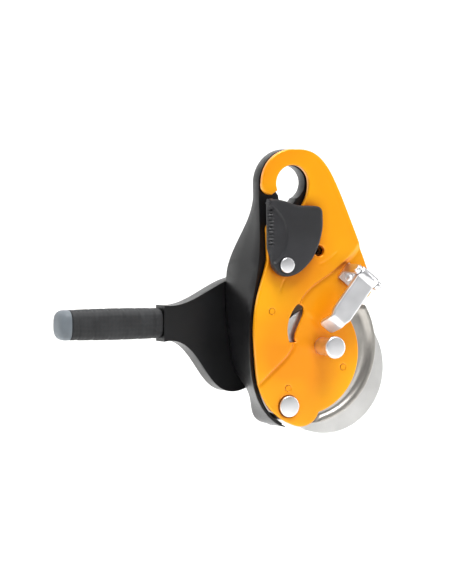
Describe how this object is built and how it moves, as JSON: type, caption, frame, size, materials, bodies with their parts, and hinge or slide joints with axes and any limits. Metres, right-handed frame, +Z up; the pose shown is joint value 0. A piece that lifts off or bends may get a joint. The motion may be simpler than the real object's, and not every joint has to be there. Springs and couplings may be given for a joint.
{
  "type": "rope descender",
  "caption": "Self-braking rope descender: body with attachment eye, swinging hook-eyed side plate, eccentric grooved cam, auxiliary brake and a turning handle.",
  "frame": {"origin": "centre of the attachment eye, on the fixed body", "axes": "+X right and +Y back as seen from the swinging side plate, +Z up; the eye's axis lies along Y"},
  "size_m": [0.1702, 0.0648, 0.148],
  "materials": {
    "orange_anodised": "glossy anodised",
    "body_black": "satin moulded",
    "gate_grey": "satin moulded",
    "steel_polished": "polished",
    "steel_brushed": "brushed",
    "steel_dark": "ground",
    "bronze": "turned",
    "grip_rubber": "matte",
    "cap_grey_blue": "satin moulded"
  },
  "bodies": {
    "frame": {"back_shell": "body_black", "rear_cover": "body_black", "cover_screws": "steel_dark", "friction_plate": "steel_dark", "friction_pins": "steel_dark", "cam_axle": "steel_polished", "axle_nut": "steel_dark", "cam_stop_pin": "steel_dark", "lock_insert": "bronze", "shaft_bush": "bronze", "return_spring": "steel_dark"},
    "cam": {"cam": "steel_brushed", "cam_bush": "bronze", "drive_pin": "steel_dark", "catch_pin": "steel_dark"},
    "catch": {"catch": "steel_dark"},
    "side_plate": {"side_plate": "orange_anodised", "plate_bush": "bronze", "brake_flange": "steel_brushed", "liner_rivets": "orange_anodised", "brake_post": "steel_polished", "brake_bracket": "steel_polished", "bracket_rivets": "steel_polished", "brake_pin": "steel_polished", "gate_rivet": "steel_polished", "gate_spring": "steel_dark"},
    "brake_gate": {"brake_gate": "steel_polished"},
    "safety_gate": {"safety_gate": "gate_grey"},
    "handle": {"handle_arm": "body_black", "handle_grip": "grip_rubber", "handle_cap": "cap_grey_blue", "handle_shaft": "steel_polished", "drive_cam": "steel_dark", "button_spring": "steel_dark"},
    "button": {"handle_button": "cap_grey_blue"}
  },
  "joints": [
    {"name": "handle_turn", "type": "hinge", "parent": "frame", "child": "handle", "pos_m": [-0.003, 0, -0.077], "axis": [0, 1, 0], "range_deg": [-45, 90], "stiffness_Nm_per_rad": 0.02},
    {"name": "cam_turn", "type": "hinge", "parent": "frame", "child": "cam", "pos_m": [-0.0018, 0, -0.1156], "axis": [0, 1, 0], "range_deg": [-5.5, 2.8]},
    {"name": "side_plate_swing", "type": "hinge", "parent": "frame", "child": "side_plate", "pos_m": [-0.0018, 0, -0.1156], "axis": [0, 1, 0], "range_deg": [0, 100]},
    {"name": "catch_turn", "type": "hinge", "parent": "cam", "child": "catch", "pos_m": [0.03779, 0, -0.10941], "axis": [0, -1, 0], "range_deg": [0, 60], "stiffness_Nm_per_rad": 0.004, "springref_deg": -22.92},
    {"name": "safety_gate_turn", "type": "hinge", "parent": "side_plate", "child": "safety_gate", "pos_m": [-0.0064, -0.011, -0.0421], "axis": [0, 1, 0], "range_deg": [0, 30], "stiffness_Nm_per_rad": 0.03, "springref_deg": -34.38},
    {"name": "brake_gate_turn", "type": "hinge", "parent": "side_plate", "child": "brake_gate", "pos_m": [0.037, -0.0206, -0.049], "axis": [-0.7837, 0, 0.6211], "range_deg": [0, 100], "stiffness_Nm_per_rad": 0.02, "springref_deg": -34.38},
    {"name": "button_press", "type": "slide", "parent": "handle", "child": "button", "axis": [0, -1, 0], "range_m": [0, 0.0025], "stiffness_N_per_m": 600, "springref_m": -0.001}
  ],
  "couplings": [
    {"joint": "cam_turn", "follows": "handle_turn", "ratio": -0.06}
  ]
}
